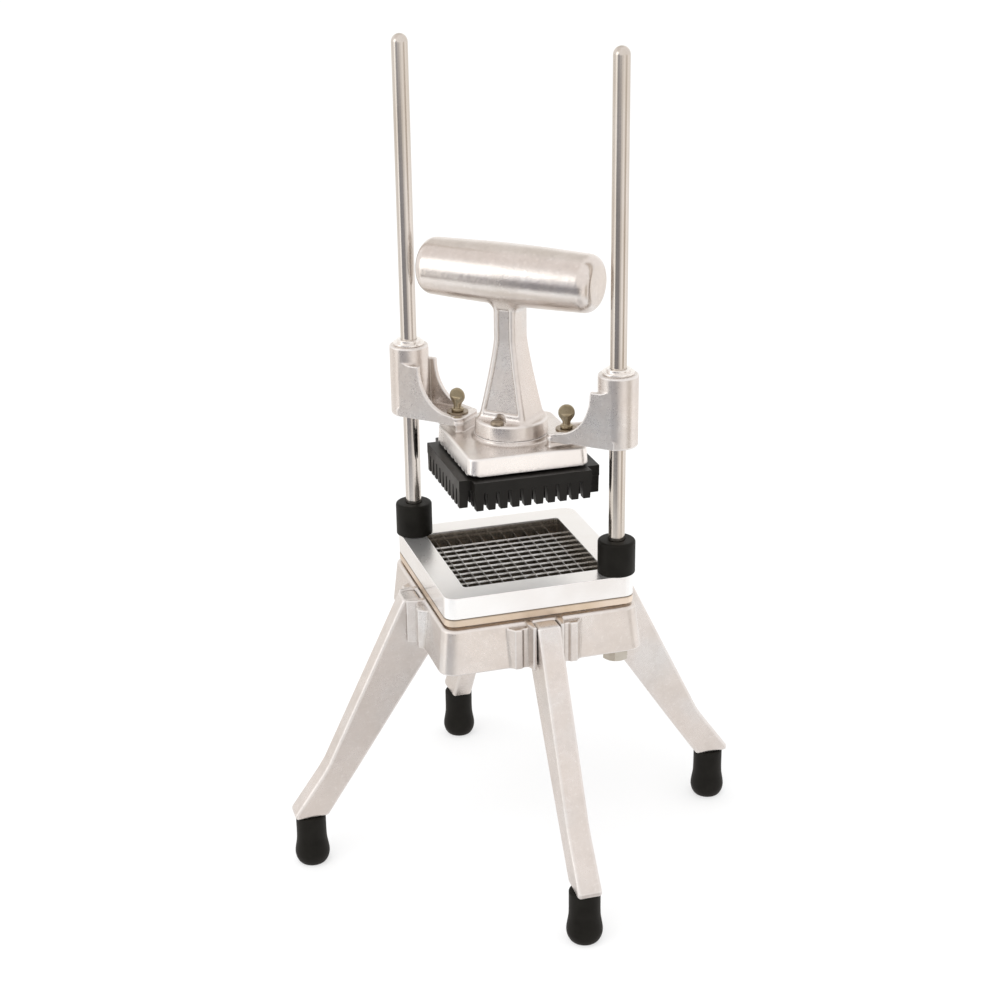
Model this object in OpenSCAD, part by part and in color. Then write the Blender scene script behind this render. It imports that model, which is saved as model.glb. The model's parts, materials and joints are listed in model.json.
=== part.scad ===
// Push-down french fry cutter: four-legged cast base, two guide rods on
// opposite corners, crossed blade cartridge, and a sliding T-handle head.
// Units are millimetres, +Z is up, the origin is on the table plane in the
// middle of the four feet. +X is the right-hand side, -Y is the front.

/* [Guide rods] */
// Distance of each guide rod from the centre planes
rod_p = 64.5; // [62:0.5:67]
// Guide rod diameter (half inch)
rod_d = 12.7; // [12:0.1:13.5]
// Height of the rod tips above the table
rod_top = 654.7; // [560:0.1:700]

/* [Base] */
// Height of the top deck of the base casting
deck_z = 227.8; // [227.8:0.1:227.8]
// Height of the lower rim of the base skirt
skirt_z = 190.5; // [186:0.5:194]
// Half width of the base casting at the deck
base_h_top = 79; // [78.5:0.5:80]
// Half width of the base casting at the skirt rim
base_h_low = 82.5; // [82:0.5:84]
// Half width of the chute opening in the deck
chute_h = 58.5; // [57.5:0.5:60]

/* [Legs and feet] */
// Radius from the centre to the middle of each foot
foot_r = 175.5; // [174:0.5:177]
// Thickness of each leg casting
leg_t = 18.8; // [16:0.2:19]
// Height of the leg ends, where the rubber tips start
leg_end_z = 43.5; // [42:0.5:45]
// Largest diameter of a rubber foot
foot_d = 28.2; // [27:0.2:30]

/* [Blade cartridge] */
// Half width of the square blade frame
frame_h = 76.7; // [76:0.1:78]
// Thickness of the lower blade plate
plate_t = 6.8; // [6:0.1:7.5]
// Thickness of the upper blade frame
frame_t = 17.9; // [17:0.1:19]
// Cutting pitch (three eighths of an inch)
pitch = 9.525; // [9.525:0.001:9.525]
// Thickness of a blade
blade_t = 0.7; // [0.5:0.05:0.9]

/* [Head] */
// Height of the underside of the head plate, in the stored pose
head_z = 335.5; // [335.5:0.5:345]
// Half width of the head plate
head_h = 48.5; // [46:0.5:49]
// Outer radius of the two bushing housings
hous_r = 15.5; // [15:0.1:17]
// Height of the handle axis above the underside of the head plate
grip_up = 144.5; // [140:0.5:150]
// Half length of the handle grip
grip_half = 74; // [71:0.5:76]
// Largest radius of the grip, at its middle
grip_r = 23.6; // [22:0.1:24]

/* [Hidden] */
$fn = 64;
rod_r = rod_d / 2;
bush_r = rod_r + 0.05;          // running bore of the bushings
frame_z0 = deck_z;              // underside of the lower blade plate
frame_z1 = deck_z + plate_t;    // joint between the two halves
frame_z2 = frame_z1 + frame_t;  // top of the upper frame
blade_z0 = frame_z1 - 3.4;      // lower edge of the blades
blade_z1 = frame_z1 + 8.4;      // cutting edge of the blades
open_h = 57.3;                  // half width of the cutting opening
n_blade = 11;                   // blades each way
bump_h = 27;                    // rubber bumper height
rod_c = rod_p * sqrt(2);        // rod distance from the axis along the diagonal
plate_z = head_z + 16;          // top of the head plate
seat_z = head_z + 19.5;         // seat of the T-handle flange
arm_z0 = head_z + 21.5;         // underside of the arms and the housings
arm_z1 = arm_z0 + 6;            // floor of the arms
hous_z = arm_z0 + 56.7;         // top of the housings
web_z = arm_z0 + 43.6;            // top of the arm webs
grip_z = head_z + grip_up;      // handle axis
thumb_c = 48;                   // thumb screws along the diagonal
hs_c = 23.5;                    // handle screws across the diagonal
post_z = head_z - 22.5;         // tips of the pusher posts
psh_z = head_z - 8.5;           // underside of the pusher plate

// ---------- shared shapes ----------

// square with rounded corners, 2-D, made of exact arcs
module rsq(h, r) {
    square([2 * h, 2 * (h - r)], center = true);
    square([2 * (h - r), 2 * h], center = true);
    for (sx = [-1, 1], sy = [-1, 1])
        translate([sx * (h - r), sy * (h - r)]) circle(r);
}

// rounded square block that changes size with height
module taper_block(h0, h1, r, z0, z1)
    hull() {
        for (sx = [-1, 1], sy = [-1, 1]) {
            translate([sx * (h0 - r), sy * (h0 - r), z0]) cylinder(r = r, h = 0.01, $fn = 32);
            translate([sx * (h1 - r), sy * (h1 - r), z1 - 0.01]) cylinder(r = r, h = 0.01, $fn = 32);
        }
    }

// hexagonal nut or bolt head with turned chamfers, af = width across flats
module hex_body(af, h)
    intersection() {
        cylinder(r = af / sqrt(3), h = h, $fn = 6);
        rotate_extrude()
            polygon([[0, 0], [af / 2 * 0.98, 0], [af / sqrt(3) + 0.02, (af / sqrt(3) - af / 2 * 0.98) * 0.577],
                [af / sqrt(3) + 0.02, h - (af / sqrt(3) - af / 2 * 0.98) * 0.577], [af / 2 * 0.98, h], [0, h]]);
    }

module nut(af, h, bore_r)
    difference() {
        hex_body(af, h);
        translate([0, 0, -1]) cylinder(r = bore_r, h = h + 2);
    }

module washer(r, bore_r, h)
    difference() {
        cylinder(r = r, h = h);
        translate([0, 0, -1]) cylinder(r = bore_r, h = h + 2);
    }

// places a child on the side of the base that faces angle a (0 = +X)
module side(a) rotate([0, 0, a]) children();

// the head's own frame: its X runs along the diagonal from the left rod to the right rod
module diag() rotate([0, 0, -45]) children();

// ---------- base ----------

leg_bolt_z = [skirt_z + 8.5, skirt_z + 22];
wall_face = 72;     // spot-faced inner seat of the leg bolts

// height of the cast rim; the machined seat for the cartridge stands above it
rim_z = deck_z - 1.2;

// half of a leg socket, seen from above, x outwards: stepped pad, and the rib beside the leg
pad_pts = [[72, 9.6], [84.7, 9.6], [84.7, 18.4], [86.3, 19.8], [86.3, 24.6], [85.6, 25.4], [80, 29.9], [72, 29.9]];
rib_pts = [[72, 9.6], [91.4, 9.6], [92, 10.2], [92, 12], [91.5, 12.6], [84, 14.8], [72, 14.8]];

module base_casting() color([0.80, 0.79, 0.77]) difference() {
    union() {
        difference() {
            union() {
                taper_block(base_h_low, base_h_top, 12, skirt_z, rim_z);
                translate([0, 0, rim_z - 3]) linear_extrude(4.2) rsq(frame_h - 4.3, 7);
            }
            taper_block(base_h_low - 6, base_h_top - 5.5, 7, skirt_z - 1, deck_z - 8);
        }
        for (a = [0, 90, 180, 270]) side(a) {
            for (m = [0, 1]) mirror([0, m, 0]) translate([0, 0, skirt_z]) {
                linear_extrude(33.2) polygon(pad_pts);
                linear_extrude(36.1) polygon(rib_pts);
            }
            // flat seat inside for the leg bolts
            translate([wall_face, -10, skirt_z]) cube([6, 20, deck_z - 4 - skirt_z]);
        }
        // corner bosses: guide rods
        for (s = [-1, 1]) intersection() {
            translate([s * rod_p, -s * rod_p, skirt_z]) cylinder(r = 13.2, h = deck_z - 2 - skirt_z);
            translate([s * 67.7, -s * 67.7, 205]) cube([25, 25, 60], center = true);
        }
        // corner bosses: cartridge bolts
        for (s = [-1, 1]) translate([s * rod_p, s * rod_p, skirt_z + 12.5]) cylinder(r = 9.5, h = deck_z - 2 - skirt_z - 12.5);
    }
    // chute opening
    translate([0, 0, skirt_z - 5]) linear_extrude(50) rsq(chute_h, 5);
    for (s = [-1, 1]) {
        translate([s * rod_p, -s * rod_p, skirt_z - 5]) cylinder(r = rod_r + 0.05, h = 60);
        translate([s * rod_p, s * rod_p, skirt_z - 5]) cylinder(r = 3.4, h = 60);
    }
    for (a = [0, 90, 180, 270], z = leg_bolt_z) side(a)
        translate([60, 0, z]) rotate([0, 90, 0]) cylinder(r = 3.3, h = 30);
}

// side view of a leg, x outwards, y up
leg_pts = [
    [79.1, rim_z - 0.2], [92.8, rim_z - 0.2], [93.7, rim_z - 0.6], [94.3, 224.9],
    [158.6, 92.6], [161.4, 87.4], [165.4, 81.4],
    [188.2, 49.6], [189.2, 47.2], [189.3, leg_end_z], [162.2, leg_end_z],
    [131.6, 88.4], [67.4, 184.2], [66.2, 186.8], [66.2, skirt_z - 0.1],
    [base_h_low + 0.1, skirt_z - 0.1]];

// draft of a leg's side faces
leg_k = 0.043;

module leg(a) color([0.82, 0.80, 0.78]) side(a) difference() {
    union() {
        intersection() {
            translate([0, 15, 0]) rotate([90, 0, 0]) linear_extrude(30) polygon(leg_pts);
            // side faces: widest at the outer face, with draft towards the inner one
            translate([94.3, 0, 224.9]) rotate([0, 154.08, 0]) translate([0, 0, -60]) linear_extrude(300)
                polygon([[-12, leg_t / 2 + 12 * leg_k], [50, leg_t / 2 - 50 * leg_k],
                    [50, 50 * leg_k - leg_t / 2], [-12, -leg_t / 2 - 12 * leg_k]]);
        }
        // spigot inside the rubber foot
        translate([foot_r, 0, 14.5]) cylinder(r = 7, h = leg_end_z - 14);
    }
    for (z = leg_bolt_z) translate([70, 0, z]) rotate([0, 90, 0]) cylinder(r = 3.15, h = 22);
}

module leg_front() leg(270);
module leg_right() leg(0);
module leg_back() leg(90);
module leg_left() leg(180);

module foot(a) color([0.06, 0.06, 0.06]) side(a) translate([foot_r, 0, 0])
    rotate_extrude() polygon([
        [0, 0], [9.4, 0], [10.6, 0.5], [12.0, 2.0], [13.2, 4.4], [foot_d / 2 - 0.2, 7], [foot_d / 2, 9.3],
        [foot_d / 2 - 0.2, 12], [13.3, 15.5], [12.7, 19], [12.3, 22.5], [12.2, 28], [12.2, leg_end_z - 1.3],
        [11.5, leg_end_z - 0.1], [7.1, leg_end_z - 0.1], [7.1, 14], [0, 14]]);

module foot_front() foot(270);
module foot_right() foot(0);
module foot_back() foot(90);
module foot_left() foot(180);

module leg_bolts() color([0.72, 0.72, 0.72])
    for (a = [0, 90, 180, 270], z = leg_bolt_z) side(a)
        translate([wall_face - 6, 0, z]) rotate([0, 90, 0]) {
            hex_body(11.1, 4.5);
            translate([0, 0, 4.4]) cylinder(r = 3.1, h = 21);
        }

module leg_bolt_washers() color([0.72, 0.72, 0.72])
    for (a = [0, 90, 180, 270], z = leg_bolt_z) side(a)
        translate([wall_face - 1.4, 0, z]) rotate([0, 90, 0]) washer(6.4, 3.2, 1.4);

// ---------- guide rods ----------

module guide_rod(s) color([0.66, 0.62, 0.57])
    translate([s * rod_p, -s * rod_p, 0])
        rotate_extrude() polygon(concat(
            [[0, skirt_z - 13.6], [rod_r - 1.2, skirt_z - 13.6], [rod_r, skirt_z - 12.4]],
            [for (a = [0 : 6 : 84]) [rod_r * cos(a), rod_top - rod_r + rod_r * sin(a)]],
            [[0, rod_top]]));

module guide_rod_left() guide_rod(-1);
module guide_rod_right() guide_rod(1);

module rod_nuts() color([0.62, 0.58, 0.45])
    for (s = [-1, 1]) translate([s * rod_p, -s * rod_p, skirt_z - 11.9]) rotate([0, 0, 8]) nut(19.05, 10.3, rod_r + 0.03);

module rod_washers() color([0.66, 0.62, 0.54])
    for (s = [-1, 1]) translate([s * rod_p, -s * rod_p, skirt_z - 1.6]) washer(12.6, rod_r + 0.3, 1.6);

module rod_jam_nuts() color([0.7, 0.7, 0.68])
    for (s = [-1, 1]) translate([s * rod_p, -s * rod_p, frame_z2]) nut(19.05, 7.9, rod_r + 0.03);

// rubber stop on each rod, with a pocket over the jam nut
module bumper(s) color([0.07, 0.07, 0.07])
    translate([s * rod_p, -s * rod_p, frame_z2])
        rotate_extrude() polygon([
            [11.4, 0], [14.2, 0], [14.75, 0.6], [14.75, bump_h - 1.4], [13.6, bump_h],
            [rod_r + 0.8, bump_h], [rod_r + 0.05, bump_h - 0.8], [rod_r + 0.05, 8.6], [11.4, 8.6]]);

module bumper_left() bumper(-1);
module bumper_right() bumper(1);

// ---------- blade cartridge ----------

// slots that hold the blade ends, cut from z0 to z1
module blade_slots(z0, z1)
    for (q = [0, 90], i = [0 : n_blade - 1]) rotate([0, 0, q])
        translate([-open_h - 4, pitch * (i - 5) - blade_t / 2 - 0.06, z0])
            cube([2 * open_h + 8, blade_t + 0.12, z1 - z0]);

module frame_holes(z0, z1) {
    for (s = [-1, 1]) {
        translate([s * rod_p, -s * rod_p, z0]) cylinder(r = rod_r + 0.05, h = z1 - z0);
        translate([s * rod_p, s * rod_p, z0]) cylinder(r = 3.15, h = min(z1, frame_z1 + 15) - z0);
    }
}

module blade_frame_lower() color([0.74, 0.68, 0.58]) difference() {
    union() {
    // a narrower land below leaves an open joint above the deck
    translate([0, 0, frame_z0]) linear_extrude(1.5) rsq(frame_h - 4.3, 7);
    translate([0, 0, frame_z0 + 1.2]) linear_extrude(plate_t - 1.2) rsq(frame_h, 9);
    }
    translate([0, 0, frame_z0 - 1]) linear_extrude(plate_t + 2) rsq(open_h, 3);
    blade_slots(blade_z0 - 0.1, frame_z1 + 1);
    frame_holes(frame_z0 - 1, frame_z1 + 1);
    for (a = [0, 90, 180, 270]) rotate([0, 0, a]) translate([68, 0, frame_z0 - 1]) {
        cylinder(r = 2.55, h = plate_t + 2);
        translate([0, 0, 0.9]) cylinder(r1 = 5.25, r2 = 2.65, h = 2.6);
    }
}

module blade_frame_upper() color([0.90, 0.90, 0.89]) difference() {
    union() {
        translate([0, 0, frame_z1]) linear_extrude(1) rsq(frame_h - 2.4, 6.6);
        translate([0, 0, frame_z1 + 0.7]) linear_extrude(frame_t - 0.7) rsq(frame_h, 9);
    }
    translate([0, 0, frame_z1 - 1]) linear_extrude(frame_t + 2) rsq(open_h, 3);
    blade_slots(frame_z1 - 1, blade_z1 + 0.1);
    frame_holes(frame_z1 - 1, frame_z2 + 1);
    for (a = [0, 90, 180, 270]) rotate([0, 0, a]) translate([68, 0, frame_z1 - 1]) cylinder(r = 2.3, h = 9);
}

// countersunk screws that join the two halves of the blade frame
module frame_screws() color([0.75, 0.75, 0.74])
    for (a = [0, 90, 180, 270]) rotate([0, 0, a]) translate([68, 0, frame_z0]) difference() {
        union() {
            cylinder(r1 = 5, r2 = 2.25, h = 2.7);
            cylinder(r = 2.25, h = 13.5);
        }
        translate([-6, -0.6, -1]) cube([12, 1.2, 2]);
    }

// bolts from below that clamp the cartridge at the two corners without rods
module corner_bolts() color([0.72, 0.72, 0.72])
    for (s = [-1, 1]) translate([s * rod_p, s * rod_p, skirt_z + 12.5 - 6]) {
        hex_body(11.1, 4.6);
        cylinder(r = 3.1, h = frame_z1 + 13 - (skirt_z + 6.5));
    }

module corner_bolt_washers() color([0.72, 0.72, 0.72])
    for (s = [-1, 1]) translate([s * rod_p, s * rod_p, skirt_z + 12.5 - 1.4]) washer(7.5, 3.3, 1.4);

// one blade along X: pentagonal section with a ground cutting edge
module blade(notch_up)
    difference() {
        rotate([90, 0, 90]) translate([0, 0, -open_h - 3.8]) linear_extrude(2 * open_h + 7.6)
            polygon([[-blade_t / 2, blade_z0], [blade_t / 2, blade_z0], [blade_t / 2, blade_z1 - 1.3],
                [0.08, blade_z1], [-0.08, blade_z1], [-blade_t / 2, blade_z1 - 1.3]]);
        for (k = [0 : n_blade - 1])
            translate([pitch * (k - 5) - blade_t / 2 - 0.08, -2, notch_up ? (blade_z0 + blade_z1) / 2 - 0.05 : blade_z0 - 1])
                cube([blade_t + 0.16, 4, (blade_z1 - blade_z0) / 2 + 1.05]);
    }

module blades_lengthwise() color([0.78, 0.79, 0.80])
    for (i = [0 : n_blade - 1]) translate([0, pitch * (i - 5), 0]) blade(false);

module blades_crosswise() color([0.78, 0.79, 0.80])
    for (i = [0 : n_blade - 1]) rotate([0, 0, 90]) translate([0, pitch * (i - 5), 0]) blade(true);

// ---------- head ----------

// side view of an arm web, x along the diagonal, y up
web_pts = concat(
    [[rod_c, arm_z0], [rod_c, web_z], [74.6, web_z]],
    [for (a = [0 : 7.5 : 82.5]) [74.6 - 26.6 + 26.6 * cos(a), web_z - 1.5 - 34.5 * sin(a)]],
    [[45, arm_z1 + 0.6], [44, arm_z1], [44, arm_z0]]);

// plan of an arm floor, rounded at its inner end
module floor_2d() {
    translate([36.5 + 6, -hous_r]) square([rod_c - 42.5, 2 * hous_r]);
    translate([36.5, -hous_r + 6]) square([20, 2 * hous_r - 12]);
    for (m = [-1, 1]) translate([42.5, m * (hous_r - 6)]) circle(6);
}

module arm() {
    // two webs, tangent to the housing
    for (m = [0, 1]) mirror([0, m, 0])
        translate([0, hous_r, 0]) rotate([90, 0, 0]) linear_extrude(4.2) polygon(web_pts);
    // floor between the webs
    translate([0, 0, arm_z0]) linear_extrude(arm_z1 - arm_z0) floor_2d();
    // pad that joins the floor to the plate
    translate([0, 0, plate_z - 1]) linear_extrude(arm_z0 - plate_z + 2) intersection() {
        floor_2d();
        rotate(45) rsq(40, 6);
    }
    // bushing housing
    translate([rod_c, 0, arm_z0]) rotate_extrude() polygon([[0, 0], [hous_r - 0.8, 0], [hous_r, 0.8],
        [hous_r, hous_z - arm_z0 - 1.6], [hous_r - 0.6, hous_z - arm_z0 - 0.5], [hous_r - 1.7, hous_z - arm_z0], [0, hous_z - arm_z0]]);
}

module head_casting() color([0.82, 0.80, 0.79]) difference() {
    union() {
        difference() {
            taper_block(head_h, head_h - 1, 7.6, head_z, plate_z);
            difference() {
                translate([0, 0, head_z - 1]) linear_extrude(11) rsq(head_h - 6, 3);
                diag() {
                    for (s = [-1, 1]) {
                        translate([s * thumb_c, 0, 0]) cylinder(r = 9, h = 400);
                        translate([0, s * hs_c, 0]) cylinder(r = 7.5, h = 400);
                        translate([-60, s * 9 - 2, 0]) cube([120, 4, 400]);
                    }
                }
            }
        }
        translate([0, 0, plate_z - 1]) rotate_extrude() polygon([[0, 0], [31.5, 0], [31, 1.6], [29.6, 3], [29, seat_z - plate_z + 1], [0, seat_z - plate_z + 1]]);
        diag() for (m = [0, 1]) mirror([m, 0, 0]) arm();
    }
    diag() for (s = [-1, 1]) {
        translate([s * rod_c, 0, head_z]) cylinder(r = 9.55, h = 100);
        translate([s * thumb_c, 0, head_z - 1]) cylinder(r = 3.4, h = 40);
        translate([0, s * hs_c, head_z + 4]) cylinder(r = 2.45, h = 20);
    }
}

// flanged bushing on top of a housing, and the plain one at its foot
module bushing_upper(s) color([0.80, 0.74, 0.64]) diag() translate([s * rod_c, 0, hous_z])
    rotate_extrude() polygon([[bush_r, -18], [9.5, -18], [9.5, 0], [12, 0], [12.4, 0.4], [12.4, 1.7], [11.9, 2.2],
        [9.5, 2.2], [9.5, 3.9], [9.0, 4.4], [bush_r + 0.5, 4.4], [bush_r, 3.9]]);
module bushing_lower(s) color([0.80, 0.74, 0.64]) diag() translate([s * rod_c, 0, arm_z0])
    rotate_extrude() polygon([[bush_r + 0.5, 0], [9, 0], [9.5, 0.5], [9.5, 18], [bush_r, 18], [bush_r, 0.5]]);

module bushing_upper_left() bushing_upper(-1);
module bushing_upper_right() bushing_upper(1);
module bushing_lower_left() bushing_lower(-1);
module bushing_lower_right() bushing_lower(1);

// ---- T-handle: turned grip, flared column, round foot flange ----

function clamp01(v) = min(1, max(0, v));
// the column flares towards the flange and again a little under the grip
function col_t(z) = pow(clamp01((head_z + 95.5 - z) / 58), 1.2);
function col_u(z) = pow(clamp01((z - head_z - 113.5) / 9), 2.2);
function col_f(z) = pow(clamp01((head_z + 41 - z) / 9.5), 2);
function col_w1(z) = 9.5 + 9.8 * col_t(z) + 4.5 * col_u(z) + 3.5 * col_f(z);
function col_w2(z) = 12.0 + 5.5 * col_t(z) + 4.5 * col_u(z) + 2.2 * col_f(z);
// radius of the grip at distance u from its middle: a slight crown
function grip_at(u) = grip_r - 1.5 * pow(abs(u) / (grip_half - 7), 1.6);
end_r = 9;                      // rounding of the grip ends

// rounded rectangle ring at height z
function ring(w, d, r, z, n = 6) = [for (c = [0 : 3], i = [0 : n])
    let (a = 90 * c + 90 * i / n, sx = (c == 0 || c == 3) ? 1 : -1, sy = c < 2 ? 1 : -1)
        [sx * (w - r) + r * cos(a), sy * (d - r) + r * sin(a), z]];

module loft(rings) {
    n = len(rings[0]);
    m = len(rings);
    polyhedron(
        points = [for (q = rings) each q],
        faces = concat(
            [[for (i = [0 : n - 1]) i]],
            [for (j = [0 : m - 2], i = [0 : n - 1])
                let (a = j * n + i, b = j * n + (i + 1) % n) each [[a, a + n, b + n], [a, b + n, b]]],
            [[for (i = [0 : n - 1]) m * n - 1 - i]]));
}

// shallow panel in the face of the column, on the side of negative Y
module panel_cut()
    loft([for (z = [head_z + 38.2 : 5.13 : head_z + 120.3])
        let (w = col_w1(z) - 5, d = col_w2(z))
            [[w, -d + 1.7, z], [-w, -d + 1.7, z], [-w - 3.4, -d - 4, z], [w + 3.4, -d - 4, z]]]);

module t_handle() color([0.83, 0.82, 0.81]) diag() difference() {
    union() {
        // foot flange
        translate([0, 0, seat_z]) rotate_extrude()
            polygon([[0, 0], [28.6, 0], [29, 0.4], [28.2, 9.8], [27.6, 11.2], [26.2, 12], [0, 12]]);
        // column
        loft([for (z = [seat_z + 11 : 3.1 : head_z + 128]) ring(col_w1(z), col_w2(z), 4.5, z)]);
        // grip
        translate([0, 0, grip_z]) rotate([0, 90, 0]) rotate_extrude()
            polygon(concat(
                [[0, -grip_half]],
                [for (a = [90 : -10 : 0]) [grip_at(grip_half - end_r) - end_r + end_r * cos(a), -grip_half + end_r - end_r * sin(a)]],
                [for (u = [-grip_half + 14 : 6 : grip_half - 14]) [grip_at(u), u]],
                [for (a = [0 : 10 : 90]) [grip_at(grip_half - end_r) - end_r + end_r * cos(a), grip_half - end_r + end_r * sin(a)]],
                [[0, grip_half]]));
    }
    panel_cut();
    mirror([0, 1, 0]) panel_cut();
    for (s = [-1, 1]) translate([0, s * hs_c, seat_z - 1]) cylinder(r = 2.7, h = 30);
    for (s = [-1, 1]) translate([0, s * hs_c, seat_z + 12]) cylinder(r = 7, h = 6.5);
}

// slotted pan-head screws that hold the flange on the head casting
module handle_screws() color([0.70, 0.62, 0.50]) diag()
    for (s = [-1, 1]) translate([0, s * hs_c, seat_z + 12]) difference() {
        union() {
            rotate_extrude() polygon([[0, 0], [5.2, 0], [5.2, 1.3], [4.6, 2.5], [3.2, 3.3], [0, 3.6]]);
            translate([0, 0, -24]) cylinder(r = 2.4, h = 24.5);
        }
        rotate([0, 0, 30]) translate([-6, -0.6, 2.1]) cube([12, 1.2, 3]);
    }

// ---- pusher ----

// outline with one cell left out at each corner
module cross_2d(h) {
    square([2 * h, 2 * (h - pitch)], center = true);
    square([2 * (h - pitch), 2 * h], center = true);
}

module pusher_block() color([0.08, 0.08, 0.08]) difference() {
    union() {
        translate([0, 0, psh_z]) linear_extrude(head_z - psh_z) cross_2d(56.4);
        translate([0, 0, post_z]) linear_extrude(psh_z - post_z + 0.5) cross_2d(56.2);
    }
    // slots the blades enter
    for (q = [0, 90], i = [0 : n_blade - 1]) rotate([0, 0, q])
        translate([-70, pitch * (i - 5), 0]) rotate([90, 0, 90]) linear_extrude(140)
            polygon([[1.1, psh_z], [-1.1, psh_z], [-2.05, post_z - 1], [2.05, post_z - 1]]);
    diag() for (s = [-1, 1]) translate([s * thumb_c, 0, head_z - 8]) cylinder(r = 4.6, h = 9);
}

// threaded inserts for the thumb screws
module pusher_inserts() color([0.72, 0.58, 0.32]) diag()
    for (s = [-1, 1]) translate([s * thumb_c, 0, head_z - 7.9]) washer(4.55, 3.225, 7.8);

// ---- thumb screws ----

module thumb_washer(s) color([0.45, 0.42, 0.38]) diag() translate([s * thumb_c, 0, arm_z1]) washer(8.5, 3.4, 1.2);
module thumb_washer_left() thumb_washer(-1);
module thumb_washer_right() thumb_washer(1);

// flat round head on a shouldered stem, turned by hand; a = direction the flat faces
module thumb_screw(s, a) color([0.42, 0.36, 0.22])
    diag() translate([s * thumb_c, 0, arm_z1 + 1.2]) rotate([0, 0, a]) {
        rotate_extrude() polygon([[0, -36.2], [2.5, -36.2], [3.175, -35.4], [3.175, 0], [4.7, 0], [4.9, 0.3],
            [4.9, 2.2], [4.4, 2.7], [3.3, 3.3], [3.0, 6.2], [0, 6.2]]);
        intersection() {
            translate([0, 1.6, 12.3]) rotate([90, 0, 0]) cylinder(r = 6.4, h = 3.2);
            translate([0, 0, 12.3]) rotate([90, 0, 0]) rotate_extrude()
                polygon([[0, -1.6], [5.6, -1.6], [6.4, -0.9], [6.4, 0.9], [5.6, 1.6], [0, 1.6]]);
        }
    }
module thumb_screw_left() thumb_screw(-1, -2);
module thumb_screw_right() thumb_screw(1, 28);

base_casting();
leg_front();
leg_right();
leg_back();
leg_left();
foot_front();
foot_right();
foot_back();
foot_left();
leg_bolts();
leg_bolt_washers();
guide_rod_left();
guide_rod_right();
rod_nuts();
rod_washers();
rod_jam_nuts();
bumper_left();
bumper_right();
blade_frame_lower();
blade_frame_upper();
frame_screws();
corner_bolts();
corner_bolt_washers();
blades_lengthwise();
blades_crosswise();
head_casting();
t_handle();
handle_screws();
bushing_upper_left();
bushing_upper_right();
bushing_lower_left();
bushing_lower_right();
pusher_block();
pusher_inserts();
thumb_washer_left();
thumb_washer_right();
thumb_screw_left();
thumb_screw_right();
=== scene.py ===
import bpy
import bmesh
import json
import math
import numpy as np
from mathutils import Matrix, Vector


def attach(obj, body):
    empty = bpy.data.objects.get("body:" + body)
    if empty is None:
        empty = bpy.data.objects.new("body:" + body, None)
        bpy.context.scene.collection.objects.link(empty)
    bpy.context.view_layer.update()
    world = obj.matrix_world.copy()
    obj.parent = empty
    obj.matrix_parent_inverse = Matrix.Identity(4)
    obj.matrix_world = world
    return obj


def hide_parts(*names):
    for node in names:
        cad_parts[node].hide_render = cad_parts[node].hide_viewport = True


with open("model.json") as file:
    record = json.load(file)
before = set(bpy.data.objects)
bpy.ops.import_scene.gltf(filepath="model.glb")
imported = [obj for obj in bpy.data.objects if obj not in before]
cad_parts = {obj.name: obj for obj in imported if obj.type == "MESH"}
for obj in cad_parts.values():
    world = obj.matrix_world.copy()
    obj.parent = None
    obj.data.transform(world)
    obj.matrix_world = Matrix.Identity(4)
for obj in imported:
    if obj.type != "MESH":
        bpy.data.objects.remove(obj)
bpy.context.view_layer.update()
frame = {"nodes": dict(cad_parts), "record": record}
NODE = frame["nodes"]
MM = 0.001
S2 = math.sqrt(0.5)
COARSE = 1.0

# ------------------------------------------------------------------ sizes, mm
ROD = 64.5
ROD_R = 6.35
ROD_C = ROD * math.sqrt(2)
DECK = 227.8
RIM = 226.6          # cast rim round the machined seat
SKIRT = 190.5
F1 = 234.6          # joint between the halves of the blade frame
F2 = 252.5          # top of the blade frame
HEAD = 335.5
PLATE = 351.5
SEAT = 355.0
ARM0 = 357.0
ARM1 = 363.0
HOUS = 413.7
TIP = 654.7          # top of the guide rods
GRIP_Z = 480.0
THUMB = 48.0

# ------------------------------------------------------------------ distance fields


def ln(a, b):
    return np.sqrt(a * a + b * b)


def pos(a):
    return np.maximum(a, 0)


def rect(x, y, hx, hy, r=0.0):
    qx = np.abs(x) - (hx - r)
    qy = np.abs(y) - (hy - r)
    return ln(pos(qx), pos(qy)) + np.minimum(np.maximum(qx, qy), 0) - r


def slab(z, z0, z1):
    return np.abs(z - (z0 + z1) / 2) - (z1 - z0) / 2


def inter(a, b, r):
    """Intersection whose outer edge is rounded to radius r."""
    return np.minimum(-r, np.maximum(a, b)) + ln(pos(r + a), pos(r + b))


def join(a, b, r):
    """Union with a fillet of radius r."""
    return np.maximum(r, np.minimum(a, b)) - ln(pos(r - a), pos(r - b))


def cut(a, b, r):
    return inter(a, -b, r)


def poly(x, y, pts):
    d = np.full(np.shape(x), 1e18)
    s = np.ones(np.shape(x))
    for i in range(len(pts)):
        ax, ay = pts[i]
        bx, by = pts[i - 1]
        ex, ey = bx - ax, by - ay
        wx, wy = x - ax, y - ay
        t = np.clip((wx * ex + wy * ey) / (ex * ex + ey * ey), 0, 1)
        dx, dy = wx - ex * t, wy - ey * t
        d = np.minimum(d, dx * dx + dy * dy)
        c1, c2, c3 = y >= ay, y < by, ex * wy > ey * wx
        s = np.where((c1 & c2 & c3) | (~c1 & ~c2 & ~c3), -s, s)
    return s * np.sqrt(d)


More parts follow.
